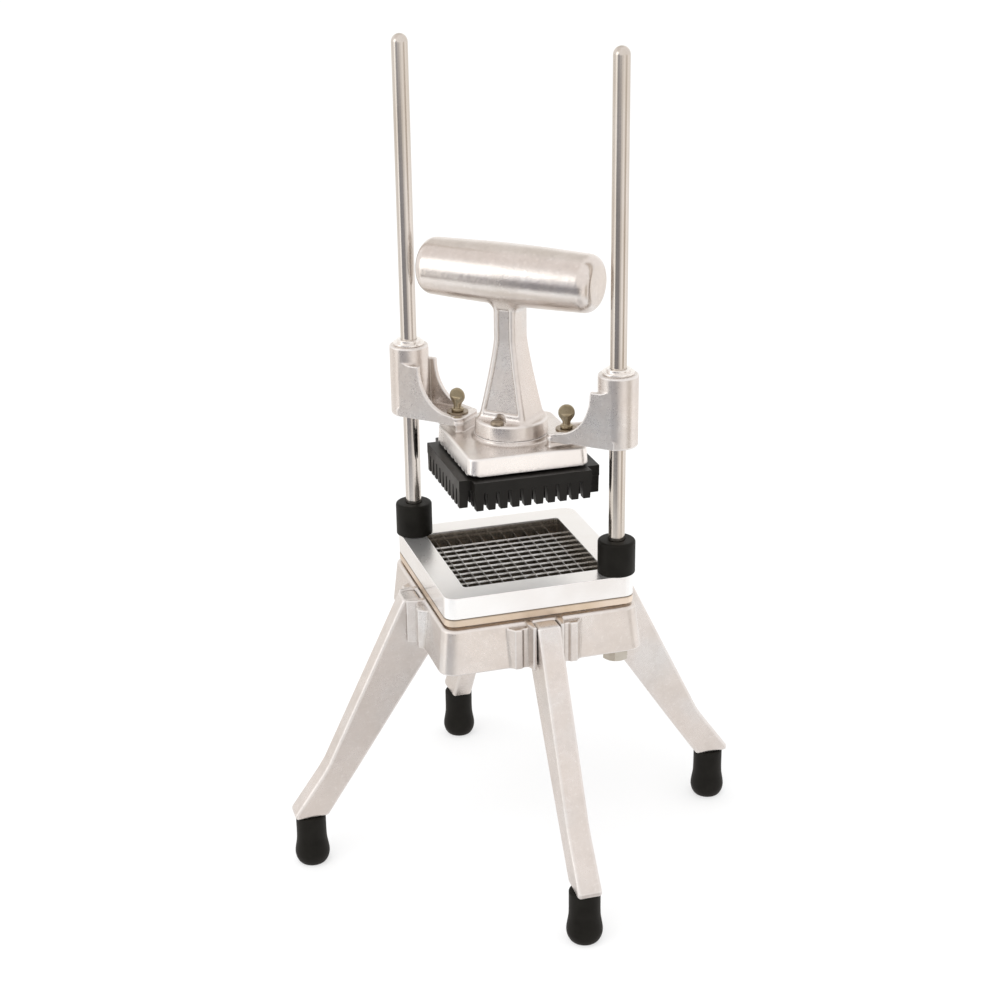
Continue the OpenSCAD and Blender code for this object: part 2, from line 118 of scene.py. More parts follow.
def inset(pts, r):
    """Polygon moved inwards by r, mitred; pts run counter-clockwise."""
    out = []
    n = len(pts)
    for i in range(n):
        p0, p1, p2 = (np.array(pts[(i + k) % n], float) for k in (-1, 0, 1))
        e0 = (p1 - p0) / np.linalg.norm(p1 - p0)
        e1 = (p2 - p1) / np.linalg.norm(p2 - p1)
        n0, n1 = np.array([-e0[1], e0[0]]), np.array([-e1[1], e1[0]])
        m = n0 + n1
        out.append(tuple(p1 + m * (r / max(0.25, float(m @ n0)))))
    return out


def plate_of(d2, t, half, r):
    """Extrusion of the 2-D field d2 (already moved inwards by r), thickness 2 * half, with all edges rounded to r."""
    b = np.abs(t) - (half - r)
    return ln(pos(d2), pos(b)) + np.minimum(np.maximum(d2, b), 0) - r


def smooth01(t):
    t = np.clip(t, 0, 1)
    return t * t * (3 - 2 * t)


# ------------------------------------------------------------------ surface of a field


def gradient(f, p, e=0.03):
    g = np.zeros_like(p)
    for k in ((1, -1, -1), (-1, -1, 1), (-1, 1, -1), (1, 1, 1)):
        g += np.array(k, float) * f(p[:, 0] + e * k[0], p[:, 1] + e * k[1], p[:, 2] + e * k[2])[:, None]
    return g / (4 * e)


def project(f, p, steps, limit):
    for _ in range(steps):
        g = gradient(f, p)
        d = f(p[:, 0], p[:, 1], p[:, 2])
        move = -(d / np.maximum((g * g).sum(1), 0.3))[:, None] * g
        size = np.linalg.norm(move, axis=1)[:, None]
        p = p + move * np.minimum(1, limit / np.maximum(size, 1e-9))
    return p


def unit(v):
    return v / np.maximum(np.linalg.norm(v, axis=1), 1e-12)[:, None]


def surface(f, lo, hi, h):
    """Closed quad mesh of f = 0, with its vertices on the surface."""
    B = 8
    lo = np.array(lo, float) - 2.13 * h
    nb = np.ceil((np.array(hi, float) + 2 * h - lo) / (B * h)).astype(int)
    n = nb * B + 1
    c = [lo[a] + (np.arange(nb[a]) + 0.5) * B * h for a in range(3)]
    X, Y, Z = np.meshgrid(*c, indexing="ij")
    fc = f(X.ravel(), Y.ravel(), Z.ravel()).reshape(X.shape)
    near = np.abs(fc) < B * h * 0.87 * 1.6
    F = np.full(n, 50.0, np.float32)
    F[:-1, :-1, :-1] = np.where(fc < 0, -50.0, 50.0).repeat(B, 0).repeat(B, 1).repeat(B, 2)
    where = np.argwhere(near)
    r = np.arange(B + 1)
    o = np.stack(np.meshgrid(r, r, r, indexing="ij"), -1).reshape(-1, 3)
    for i in range(0, len(where), 700):
        idx = (where[i:i + 700, None, :] * B + o[None]).reshape(-1, 3)
        p = lo + idx * h
        F[idx[:, 0], idx[:, 1], idx[:, 2]] = f(p[:, 0], p[:, 1], p[:, 2])
    inside = F < 0
    count = np.zeros(n - 1, np.int8)
    for dx in (0, 1):
        for dy in (0, 1):
            for dz in (0, 1):
                count += inside[dx:n[0] - 1 + dx, dy:n[1] - 1 + dy, dz:n[2] - 1 + dz]
    mixed = (count > 0) & (count < 8)
    cell = np.argwhere(mixed)
    ids = np.full(n - 1, -1, np.int64)
    ids[mixed] = np.arange(len(cell))
    corner = np.array([[x, y, z] for x in (0, 1) for y in (0, 1) for z in (0, 1)])
    val = np.stack([F[cell[:, 0] + k[0], cell[:, 1] + k[1], cell[:, 2] + k[2]] for k in corner], 1).astype(float)
    total = np.zeros((len(cell), 3))
    hits = np.zeros(len(cell))
    for a in range(8):
        for b in range(a + 1, 8):
            if abs(corner[a] - corner[b]).sum() != 1:
                continue
            va, vb = val[:, a], val[:, b]
            m = (va < 0) != (vb < 0)
            t = va[m] / (va[m] - vb[m])
            total[m] += corner[a] + t[:, None] * (corner[b] - corner[a])
            hits[m] += 1
    V = lo + (cell + total / hits[:, None]) * h
    quads = []
    for ax in range(3):
        u, v = (ax + 1) % 3, (ax + 2) % 3
        s0 = [slice(None)] * 3
        s1 = [slice(None)] * 3
        s0[ax], s1[ax] = slice(0, -1), slice(1, None)
        change = inside[tuple(s0)] != inside[tuple(s1)]
        e = np.argwhere(change)
        e = e[(e[:, u] > 0) & (e[:, v] > 0) & (e[:, u] < n[u] - 1) & (e[:, v] < n[v] - 1)]
        q = []
        for du, dv in ((-1, -1), (0, -1), (0, 0), (-1, 0)):
            k = e.copy()
            k[:, u] += du
            k[:, v] += dv
            q.append(ids[k[:, 0], k[:, 1], k[:, 2]])
        q = np.stack(q, 1)
        flip = ~inside[e[:, 0], e[:, 1], e[:, 2]]
        q[flip] = q[flip][:, ::-1]
        quads.append(q)
    Q = np.concatenate(quads)
    V = project(f, V, 3, 0.6 * h)
    # even out the spacing, then put the points back on the surface
    for _ in range(2):
        acc = np.zeros_like(V)
        num = np.zeros(len(V))
        for a in range(4):
            for b in ((a + 1) % 4, (a + 3) % 4):
                np.add.at(acc, Q[:, a], V[Q[:, b]])
                np.add.at(num, Q[:, a], 1)
        nrm = unit(gradient(f, V))
        d = (acc / num[:, None] - V) * 0.5
        V = V + d - nrm * (d * nrm).sum(1)[:, None]
        V = project(f, V, 1, 0.6 * h)
    return V, Q


def new_mesh(name, V, faces):
    me = bpy.data.meshes.new(name)
    me.from_pydata((V * MM).tolist(), [], faces if isinstance(faces, list) else faces.tolist())
    me.update()
    return me


def finish_cast(me, f, R, shift=(0, 0, 0)):
    """Moves the mesh from the field's frame to the row frame and sets each corner's normal from the field, so that a
    flat face beside a rounded edge stays flat."""
    nv, nl = len(me.vertices), len(me.loops)
    co = np.zeros(nv * 3)
    me.vertices.foreach_get("co", co)
    P = co.reshape(-1, 3) / MM
    vi = np.zeros(nl, int)
    me.loops.foreach_get("vertex_index", vi)
    size = np.zeros(len(me.polygons), int)
    me.polygons.foreach_get("loop_total", size)
    face = np.repeat(np.arange(len(size)), size)
    mid = np.zeros((len(size), 3))
    np.add.at(mid, face, P[vi])
    mid /= size[:, None]
    Nv = unit(gradient(f, P))
    pc = project(f, P[vi] * 0.78 + mid[face] * 0.22, 1, 0.5)
    Nc = unit(gradient(f, pc))
    same = (Nc * Nv[vi]).sum(1) > math.cos(math.radians(7))
    Nl = np.where(same[:, None], Nv[vi], Nc) @ R.T
    me.vertices.foreach_set("co", ((P @ R.T + np.array(shift)) * MM).ravel())
    me.update()
    me.polygons.foreach_set("use_smooth", np.ones(len(size), bool))
    me.normals_split_custom_set(Nl.tolist())
    # how sharply the surface bends: above 0 on outer edges, below 0 in corners
    e = 0.7
    bend = -6 * f(pc[:, 0], pc[:, 1], pc[:, 2])
    for k in ((e, 0, 0), (-e, 0, 0), (0, e, 0), (0, -e, 0), (0, 0, e), (0, 0, -e)):
        bend = bend + f(pc[:, 0] + k[0], pc[:, 1] + k[1], pc[:, 2] + k[2])
    a = me.attributes.new("bend", "FLOAT", "CORNER")
    a.data.foreach_set("value", np.clip(bend / (e * e) * 1.4, -1, 1).astype(np.float32))


def add(name, me, body, nodes, mat):
    o = bpy.data.objects.new(name, me)
    bpy.context.scene.collection.objects.link(o)
    o.data.materials.clear()
    o.data.materials.append(mat)
    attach(o, body)
    if nodes:
        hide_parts(*nodes)
    return o


def cast(name, f, lo, hi, h, keep, body, nodes, mat, turn=0.0):
    """Builds a cast piece from its field; turn is a turn about Z, in degrees, from the field's frame to the row frame."""
    V, Q = surface(f, lo, hi, h * COARSE)
    me = new_mesh(name, V, Q)
    if keep < 1:
        o = bpy.data.objects.new("tmp", me)
        bpy.context.scene.collection.objects.link(o)
        m = o.modifiers.new("d", "DECIMATE")
        m.ratio = keep
        bpy.context.view_layer.update()
        out = bpy.data.meshes.new_from_object(o.evaluated_get(bpy.context.evaluated_depsgraph_get()))
        bpy.data.objects.remove(o)
        bpy.data.meshes.remove(me)
        me = out
        me.name = name
        co = np.zeros(len(me.vertices) * 3)
        me.vertices.foreach_get("co", co)
        P = project(f, co.reshape(-1, 3) / MM, 2, 0.4 * h * COARSE)
        me.vertices.foreach_set("co", (P * MM).ravel())
        me.update()
    c, s = math.cos(math.radians(turn)), math.sin(math.radians(turn))
    finish_cast(me, f, np.array([[c, -s, 0], [s, c, 0], [0, 0, 1]]))
    return add(name, me, body, nodes, mat)


def lathe(name, profile, body, nodes, mat, at=(0, 0), segs=96, turn=0.0, soft=32):
    """Turned piece from a closed (radius, height) profile in mm; corners sharper than soft degrees stay sharp."""
    P = [tuple(map(float, p)) for p in profile]
    n = len(P)
    on_axis = [p[0] < 1e-6 for p in P]
    ang = np.arange(segs) * 2 * math.pi / segs + math.radians(turn)
    cs, sn = np.cos(ang), np.sin(ang)
    V, first = [], []
    for p, ax in zip(P, on_axis):
        first.append(len(V))
        if ax:
            V.append((at[0], at[1], p[1]))
        else:
            V.extend(zip(at[0] + p[0] * cs, at[1] + p[0] * sn, [p[1]] * segs))
    normal = []
    for i in range(n):
        a, b = P[i], P[(i + 1) % n]
        d = (b[0] - a[0], b[1] - a[1])
        L = math.hypot(*d) or 1
        normal.append((d[1] / L, -d[0] / L, L))
    area = sum(P[i][0] * P[(i + 1) % n][1] - P[(i + 1) % n][0] * P[i][1] for i in range(n))
    sign = 1 if area > 0 else -1

    def blend(i, j):
        """Normal at the shared point of segments i and j, as segment i sees it."""
        a, b = normal[i], normal[j]
        dot = a[0] * b[0] + a[1] * b[1]
        if dot < math.cos(math.radians(soft)):
            return a[0] * sign, a[1] * sign
        x, y = a[0] + b[0], a[1] + b[1]
        L = math.hypot(x, y)
        return x / L * sign, y / L * sign

    faces, norms = [], []
    for i in range(n):
        j = (i + 1) % n
        if on_axis[i] and on_axis[j]:
            continue
        n0, n1 = blend(i, i - 1), blend(i, j)
        for k in range(segs):
            m = (k + 1) % segs
            v = [(first[i] if on_axis[i] else first[i] + k, n0, k), (first[i] if on_axis[i] else first[i] + m, n0, m),
                 (first[j] if on_axis[j] else first[j] + m, n1, m), (first[j] if on_axis[j] else first[j] + k, n1, k)]
            if on_axis[i]:
                v = [v[0], v[2], v[3]]
            elif on_axis[j]:
                v = [v[0], v[1], v[2]]
            if sign < 0:
                v = v[::-1]
            faces.append([q[0] for q in v])
            for q in v:
                norms.append((q[1][0] * cs[q[2]], q[1][0] * sn[q[2]], q[1][1]))
    me = new_mesh(name, np.array(V), faces)
    me.polygons.foreach_set("use_smooth", np.ones(len(me.polygons), bool))
    me.normals_split_custom_set(norms)
    return add(name, me, body, nodes, mat)


def arc(cx, cy, r, a0, a1, n):
    return [(cx + r * math.cos(math.radians(a0 + (a1 - a0) * i / n)), cy + r * math.sin(math.radians(a0 + (a1 - a0) * i / n)))
            for i in range(n + 1)]


def curve_profile(pts, per=5):
    """Smooth curve through the points (Catmull-Rom), for a soft turned outline."""
    P = [np.array(p, float) for p in pts]
    out = []
    for i in range(len(P) - 1):
        a, b, c, d = P[max(i - 1, 0)], P[i], P[i + 1], P[min(i + 2, len(P) - 1)]
        for k in range(per):
            t = k / per
            out.append(tuple(0.5 * ((2 * b) + (c - a) * t + (2 * a - 5 * b + 4 * c - d) * t * t + (3 * b - a - 3 * c + d) * t ** 3)))
    out.append(tuple(P[-1]))
    return out


def bevelled(node, width, segs, mat, angle=30, pick=None):
    """A copy of a CAD node with its outer edges broken by a small bevel, standing for that node."""
    src = NODE[node]
    bm = bmesh.new()
    bm.from_mesh(src.data)
    bmesh.ops.remove_doubles(bm, verts=bm.verts, dist=2e-6)
    bmesh.ops.dissolve_limit(bm, angle_limit=math.radians(1.0), verts=bm.verts, edges=bm.edges)
    bm.normal_update()
    edges = []
    for e in bm.edges:
        if len(e.link_faces) != 2 or not e.is_convex:
            continue
        if e.calc_face_angle(0) < math.radians(angle):
            continue
        m = (e.verts[0].co + e.verts[1].co) / 2 / MM
        if pick is None or pick(m, e):
            edges.append(e)
    bmesh.ops.bevel(bm, geom=edges, offset=width * MM, offset_type="OFFSET", segments=segs, profile=0.5,
                    affect="EDGES", clamp_overlap=True)
    me = bpy.data.meshes.new("v_" + node)
    bm.to_mesh(me)
    bm.free()
    me.polygons.foreach_set("use_smooth", np.ones(len(me.polygons), bool))
    body = next(b for b, ns in frame["record"]["behaviour"]["bodies"].items() if node in ns)
    o = add("v_" + node, me, body, [node], mat)
    s = o.modifiers.new("sharp", "EDGE_SPLIT")
    s.split_angle = math.radians(50)
    w = o.modifiers.new("wn", "WEIGHTED_NORMAL")
    w.weight = 90
    w.keep_sharp = True
    return o


# ------------------------------------------------------------------ materials


class Nodes:
    def __init__(self, name, surface=True):
        self.mat = bpy.data.materials.new(name)
        self.mat.use_nodes = True
        self.t = self.mat.node_tree
        self.t.nodes.clear()
        self.out = self.t.nodes.new("ShaderNodeOutputMaterial")
        self.b = self.t.nodes.new("ShaderNodeBsdfPrincipled")
        self.link(self.b.outputs[0], self.out.inputs[0])
        self.tc = self.t.nodes.new("ShaderNodeTexCoord").outputs["Object"]

    def link(self, a, b):
        self.t.links.new(a, b)

    def put(self, socket, v):
        if isinstance(v, bpy.types.NodeSocket):
            self.link(v, socket)
        else:
            socket.default_value = v

    def noise(self, scale, detail=3, rough=0.55, stretch=None, dist=0.0):
        src = self.tc
        if stretch:
            m = self.t.nodes.new("ShaderNodeMapping")
            m.inputs["Scale"].default_value = stretch
            self.link(src, m.inputs["Vector"])
            src = m.outputs[0]
        n = self.t.nodes.new("ShaderNodeTexNoise")
        n.inputs["Scale"].default_value = scale
        n.inputs["Detail"].default_value = detail
        n.inputs["Roughness"].default_value = rough
        n.inputs["Distortion"].default_value = dist
        self.link(src, n.inputs["Vector"])
        return n.outputs["Fac"]

    def attribute(self, name):
        n = self.t.nodes.new("ShaderNodeAttribute")
        n.attribute_name = name
        return n.outputs["Fac"]

    def axis(self, k):
        n = self.t.nodes.new("ShaderNodeSeparateXYZ")
        self.link(self.tc, n.inputs[0])
        return n.outputs[k]

    def voronoi(self, scale):
        n = self.t.nodes.new("ShaderNodeTexVoronoi")
        n.inputs["Scale"].default_value = scale
        self.link(self.tc, n.inputs["Vector"])
        return n.outputs["Distance"]

    def ramp(self, fac, stops):
        r = self.t.nodes.new("ShaderNodeValToRGB")
        e = r.color_ramp.elements
        while len(e) < len(stops):
            e.new(0.5)
        for q, (p, c) in zip(e, stops):
            q.position = p
            q.color = (*c, 1) if len(c) == 3 else c
        self.link(fac, r.inputs[0])
        return r.outputs[0]

    def rng(self, v, a, b, c, d):
        m = self.t.nodes.new("ShaderNodeMapRange")
        for i, q in enumerate((a, b, c, d)):
            m.inputs[1 + i].default_value = q
        self.link(v, m.inputs[0])
        return m.outputs[0]

    def math(self, op, a, b):
        m = self.t.nodes.new("ShaderNodeMath")
        m.operation = op
        self.put(m.inputs[0], a)
        self.put(m.inputs[1], b)
        return m.outputs[0]

    def mix(self, fac, a, b, mode="MIX"):
        m = self.t.nodes.new("ShaderNodeMix")
        m.data_type = "RGBA"
        m.blend_type = mode
        self.put(m.inputs[0], fac)
        self.put(m.inputs[6], (*a, 1) if isinstance(a, tuple) else a)
        self.put(m.inputs[7], (*b, 1) if isinstance(b, tuple) else b)
        return m.outputs[2]

    def bump(self, height, distance, strength=1.0, normal=None):
        b = self.t.nodes.new("ShaderNodeBump")
        b.inputs["Distance"].default_value = distance
        b.inputs["Strength"].default_value = strength
        self.link(height, b.inputs["Height"])
        if normal is not None:
            self.link(normal, b.inputs["Normal"])
        return b.outputs[0]

    def set(self, **kw):
        for k, v in kw.items():
            self.put(self.b.inputs[k.replace("_", " ")], v)
        return self


def cast_aluminium():
    """Vibratory-tumbled sand casting: satin, mottled, with bright edges (partly worn metal, partly a painted highlight)
    and painted shade in the corners; the grip is smoother.
    """
    m = Nodes("cast_aluminium")
    patch = m.noise(34, 4, 0.62)
    tint = m.noise(19, 3, 0.5)
    grain = m.noise(900, 3, 0.7)
    fleck = m.noise(330, 3, 0.62)
    bend = m.attribute("bend")
    grip = m.rng(m.axis(2), 0.452, 0.462, 0.0, 1.0)
    col = m.ramp(tint, [(0.32, (0.755, 0.70, 0.66)), (0.50, (0.765, 0.72, 0.69)), (0.68, (0.745, 0.73, 0.72))])
    col = m.mix(m.rng(patch, 0.40, 0.66, 0.0, 0.50), col, (0.665, 0.615, 0.57))
    smudge = m.noise(95, 3, 0.6)
    col = m.mix(m.rng(smudge, 0.52, 0.70, 0.0, 0.30), col, (0.62, 0.58, 0.555))
    col = m.mix(m.rng(fleck, 0.56, 0.74, 0.0, 0.35), col, (0.93, 0.91, 0.89))
    col = m.mix(m.rng(fleck, 0.44, 0.28, 0.0, 0.15), col, (0.56, 0.52, 0.49))
    faced = m.math("MULTIPLY", m.rng(m.axis(2), 0.3340, 0.3350, 0.0, 0.9), m.rng(m.axis(2), 0.3500, 0.3515, 1.0, 0.0))
    col = m.mix(faced, col, (0.965, 0.945, 0.93))
    # painted shade: corners and creases, where the bend is below 0, are darkened
    col = m.mix(m.rng(bend, -0.15, -0.9, 0.0, 0.42), col, (0.36, 0.32, 0.28))
    # painted highlight: outer edges, where the bend is above 0, are made near white; the worn metal there is brighter
    # as well
    col = m.mix(m.rng(bend, 0.25, 0.8, 0.0, 0.55), col, (0.95, 0.94, 0.93))
    rough = m.math("ADD", m.rng(patch, 0.3, 0.7, 0.25, 0.34), m.rng(grain, 0.3, 0.7, -0.04, 0.05))
    rough = m.math("ADD", rough, m.rng(grip, 0.0, 1.0, 0.0, -0.09))
    rough = m.math("ADD", rough, m.rng(bend, 0.22, 0.6, 0.0, 0.18))
    n = m.bump(m.noise(120, 3, 0.5), 0.0004, 0.30)
    n = m.bump(fleck, 0.0003, 0.17, n)
    n = m.bump(grain, 0.00012, 0.45, n)
    m.set(Base_Color=col, Metallic=1.0, Roughness=rough, Normal=n)
    return m.mat


def polished_aluminium():
    m = Nodes("polished_aluminium")
    patch = m.noise(30, 3, 0.5)
    lines = m.noise(260, 3, 0.6, stretch=(1, 1, 6))
    col = m.ramp(patch, [(0.35, (0.90, 0.885, 0.87)), (0.65, (0.94, 0.935, 0.93))])
    rough = m.math("ADD", m.rng(patch, 0.3, 0.7, 0.14, 0.20), m.rng(lines, 0.3, 0.7, -0.02, 0.03))
    rough = m.math("ADD", rough, m.rng(m.axis(2), 0.2518, 0.2523, 0.0, 0.14))
    n = m.bump(m.noise(60, 2, 0.5), 0.0004, 0.12)
    n = m.bump(lines, 0.00003, 0.35, n)
    # painted shade: the walls of the opening are given a dark brown colour, standing for the shade inside the frame
    span = m.math("MAXIMUM", m.math("ABSOLUTE", m.axis(0), 0.0), m.math("ABSOLUTE", m.axis(1), 0.0))
    wall_shade = m.math("MULTIPLY", m.rng(span, 0.0575, 0.0581, 0.9, 0.0), m.rng(m.axis(2), 0.2506, 0.2514, 1.0, 0.0))
    col = m.mix(wall_shade, col, (0.30, 0.255, 0.20))
    m.set(Base_Color=col, Metallic=0.86, Roughness=rough, Normal=n)
    return m.mat


def tan_aluminium():
    m = Nodes("tan_aluminium")
    patch = m.noise(34, 3, 0.5)
    lines = m.noise(300, 3, 0.6, stretch=(1, 1, 8))
    # painted shade and painted warm reflection: the lower plate is given a tan colour, standing for the shade and warm
    # reflection under the upper frame
    col = m.ramp(patch, [(0.35, (0.72, 0.59, 0.45)), (0.65, (0.83, 0.71, 0.60))])
    # painted shadow: a dark line along the top of the plate, where the gap under the upper frame is in shade
    col = m.mix(m.rng(m.axis(2), 0.2334, 0.2345, 0.0, 0.75), col, (0.34, 0.27, 0.20))
    rough = m.rng(lines, 0.3, 0.7, 0.26, 0.38)
    n = m.bump(lines, 0.00004, 0.5)
    m.set(Base_Color=col, Metallic=1.0, Roughness=rough, Normal=n)
    return m.mat


def rod_steel():
    """Ground bar: faint rings round it and slow colour drift along it."""
    m = Nodes("rod_steel")
    ring = m.noise(1.0, 3, 0.6, stretch=(25, 25, 2600))
    drift = m.noise(1.0, 3, 0.5, stretch=(30, 30, 9))
    col = m.ramp(drift, [(0.35, (0.60, 0.55, 0.49)), (0.65, (0.70, 0.665, 0.63))])
    rough = m.math("ADD", m.rng(ring, 0.3, 0.7, 0.10, 0.17), m.rng(drift, 0.3, 0.7, 0.0, 0.04))
    n = m.bump(ring, 0.00002, 0.25)
    m.set(Base_Color=col, Metallic=1.0, Roughness=rough, Normal=n)
    return m.mat


def steel(name, a, b, r0, r1, scale=400):
    m = Nodes(name)
    patch = m.noise(90, 3, 0.6)
    fine = m.noise(scale, 3, 0.6)
    col = m.ramp(patch, [(0.3, a), (0.7, b)])
    if name == "dull_steel":  # the screws and washers on the head have browned more than the nuts below
        col = m.mix(m.rng(m.axis(2), 0.25, 0.30, 0.0, 0.75), col, (0.26, 0.195, 0.125))
    rough = m.rng(fine, 0.3, 0.7, r0, r1)
    n = m.bump(fine, 0.00004, 0.4)
    m.set(Base_Color=col, Metallic=1.0, Roughness=rough, Normal=n)
    return m.mat


def blade_steel():
    m = Nodes("blade_steel")
    # the ground edge, made near white as a painted highlight, strongest on the blades that face the front
    geo = m.t.nodes.new("ShaderNodeNewGeometry")
    part = m.t.nodes.new("ShaderNodeSeparateXYZ")
    m.link(geo.outputs["Normal"], part.inputs[0])
    side = m.rng(m.math("ABSOLUTE", part.outputs[0], 0.0), 0.3, 0.6, 1.0, 0.25)
    top = m.math("MULTIPLY", m.rng(m.axis(2), 0.24155, 0.24175, 0.0, 1.0), side)
    fine = m.noise(1.0, 3, 0.6, stretch=(150, 150, 2400))
    patch = m.noise(60, 2, 0.5)
    # painted shade: the blade sides are given a dark colour so that the cells between them read dark
    col = m.ramp(patch, [(0.3, (0.20, 0.175, 0.145)), (0.7, (0.27, 0.24, 0.205))])
    col = m.mix(top, col, (0.98, 0.98, 0.98))
    m.set(Base_Color=col, Metallic=0.92, Roughness=m.rng(fine, 0.3, 0.7, 0.20, 0.34), Normal=m.bump(fine, 0.00003, 0.4))
    return m.mat


def rubber():
    """Moulded rubber: very dark, matt, with a soft bloom and fine pores."""
    m = Nodes("foot_rubber")
    patch = m.noise(70, 4, 0.6)
    pore = m.noise(1100, 3, 0.7)
    col = m.ramp(patch, [(0.3, (0.0055, 0.0048, 0.0035)), (0.7, (0.0115, 0.0105, 0.0085))])
    rough = m.math("ADD", m.rng(patch, 0.3, 0.7, 0.42, 0.56), m.rng(pore, 0.3, 0.7, -0.04, 0.06))
    n = m.bump(pore, 0.00008, 0.5)
    m.set(Base_Color=col, Roughness=rough, Normal=n)
    m.b.inputs["Specular IOR Level"].default_value = 0.13
    return m.mat


def moulded_plastic():
    m = Nodes("pusher_plastic")
    patch = m.noise(55, 4, 0.6)
    grain = m.noise(1500, 3, 0.7)
    col = m.ramp(patch, [(0.3, (0.0055, 0.0048, 0.0038)), (0.7, (0.0110, 0.0100, 0.0085))])
    rough = m.math("ADD", m.rng(patch, 0.3, 0.7, 0.30, 0.42), m.rng(grain, 0.3, 0.7, -0.03, 0.05))
    n = m.bump(grain, 0.00005, 0.5)
    m.set(Base_Color=col, Roughness=rough, Normal=n)
    m.b.inputs["Specular IOR Level"].default_value = 0.20
    return m.mat


M = {
    "cast_aluminium": cast_aluminium(),
    "polished_aluminium": polished_aluminium(),
    "tan_aluminium": tan_aluminium(),
    "rod_steel": rod_steel(),
    "dull_steel": steel("dull_steel", (0.50, 0.46, 0.39), (0.62, 0.59, 0.54), 0.28, 0.42),
    "zinc_steel": steel("zinc_steel", (0.60, 0.60, 0.60), (0.70, 0.70, 0.69), 0.25, 0.40),
    "blade_steel": blade_steel(),
    "bushing_metal": steel("bushing_metal", (0.88, 0.85, 0.82), (0.94, 0.92, 0.90), 0.22, 0.32),
    "insert_brass": steel("insert_brass", (0.72, 0.52, 0.24), (0.78, 0.60, 0.32), 0.25, 0.38),
    "thumb_bronze": steel("thumb_bronze", (0.31, 0.255, 0.165), (0.45, 0.385, 0.27), 0.26, 0.42, 700),
    "pusher_plastic": moulded_plastic(),
    "foot_rubber": rubber(),
}

# every CAD node that stays visible takes its own material
for sub in frame["record"]["subparts"]:
    o = NODE[sub["node"]]
    o.data.materials.clear()
    o.data.materials.append(M[sub["material_slot"]])
    for q in o.data.polygons:
        q.use_smooth = False

# ------------------------------------------------------------------ cast pieces


PAD = inset([(72, 9.6), (84.7, 9.6), (84.7, 18.4), (86.3, 19.8), (86.3, 25.0), (80, 29.9), (72, 29.9)], 1.0)
RIB = inset([(72, 9.6), (92, 9.6), (92, 12.3), (84, 14.8), (72, 14.8)], 0.9)


def f_base(x, y, z):
    ax, ay = np.abs(x), np.abs(y)
    a, b = np.maximum(ax, ay), np.minimum(ax, ay)
    half = 79 + 3.5 * np.clip((RIM - z) / 36.1, -0.05, 1.05)
    outer = rect(x, y, half, half, 12) * 0.996
    body = inter(outer, z - RIM, 2.4)
    body = inter(body, SKIRT - z, 1.2)
    body = join(body, inter(inter(rect(x, y, 72.4, 72.4, 7), z - DECK, 0.4), 220 - z, 0.1), 0.4)
    cav = inter(rect(x, y, half - 6, half - 6, 7), z - (DECK - 8), 2.5)
    body = cut(body, cav, 0.8)
    # stepped pads and ribs that hold the leg, the same on all four sides
    pad = plate_of(poly(a, b, PAD), z - (SKIRT + 223.7) / 2, (223.7 - SKIRT) / 2, 1.0)
    rib = plate_of(poly(a, b, RIB), z - (SKIRT + 226.7) / 2, (226.7 - SKIRT) / 2, 0.9)
    shape = join(body, np.maximum(join(pad, rib, 0.9), 76.0 - a), 1.1)
    # corner bosses and the inner seats of the leg bolts
    rod = ln(ax - ROD, ay - ROD)
    boss_r = np.where(x * y < 0, 13.2, 9.5)
    boss_z = np.where(x * y < 0, SKIRT, 203.0)
    boss = inter(rod - boss_r, np.maximum(boss_z - z, z - (DECK - 2)), 0.8)
    boss = np.maximum(boss, np.where(x * y < 0, 55.2 - b, -50.0))
    shape = join(shape, boss, 1.6)
    seat = np.maximum(np.maximum(72 - a, a - 78), np.maximum(b - 10, slab(z, SKIRT, 223.8)))
    shape = np.minimum(shape, seat)
    shape = cut(shape, rect(x, y, 58.5, 58.5, 5), 1.0)
    shape = np.maximum(shape, -(rod - np.where(x * y < 0, ROD_R + 0.05, 3.4)))
    for h in (199.0, 212.5):
        shape = np.maximum(shape, -np.maximum(ln(b, z - h) - 3.3, 60 - a))
    return shape


LEG = [(93.57, 226.4), (79.3, 226.4), (82.8, 190.6), (66.3, 190.4), (66.3, 185.8), (131.6, 88.4), (162.2, 43.5),
       (189.3, 43.5), (189.3, 48.0), (165.2, 81.6), (160.0, 89.9)]
LEG_IN = inset(LEG, 2.6)


def f_leg(x, y, z):
    deep = np.clip(183.12 - 0.8994 * x - 0.4371 * z, -12, 50)
    return plate_of(poly(x, z, LEG_IN), y, 9.4 - 0.043 * deep, 2.6)


def turned(f, deg):
    c, s = math.cos(math.radians(deg)), math.sin(math.radians(deg))
    return lambda x, y, z: f(c * x + s * y, -s * x + c * y, z)


WEB = ([(ROD_C, ARM0), (ROD_C, 400.6), (74.6, 400.6)]
       + [(48 + 26.6 * math.cos(math.radians(a)), 399.1 - 34.5 * math.sin(math.radians(a))) for a in np.arange(0, 83, 7.5)]
       + [(45, ARM1), (44, ARM0)])


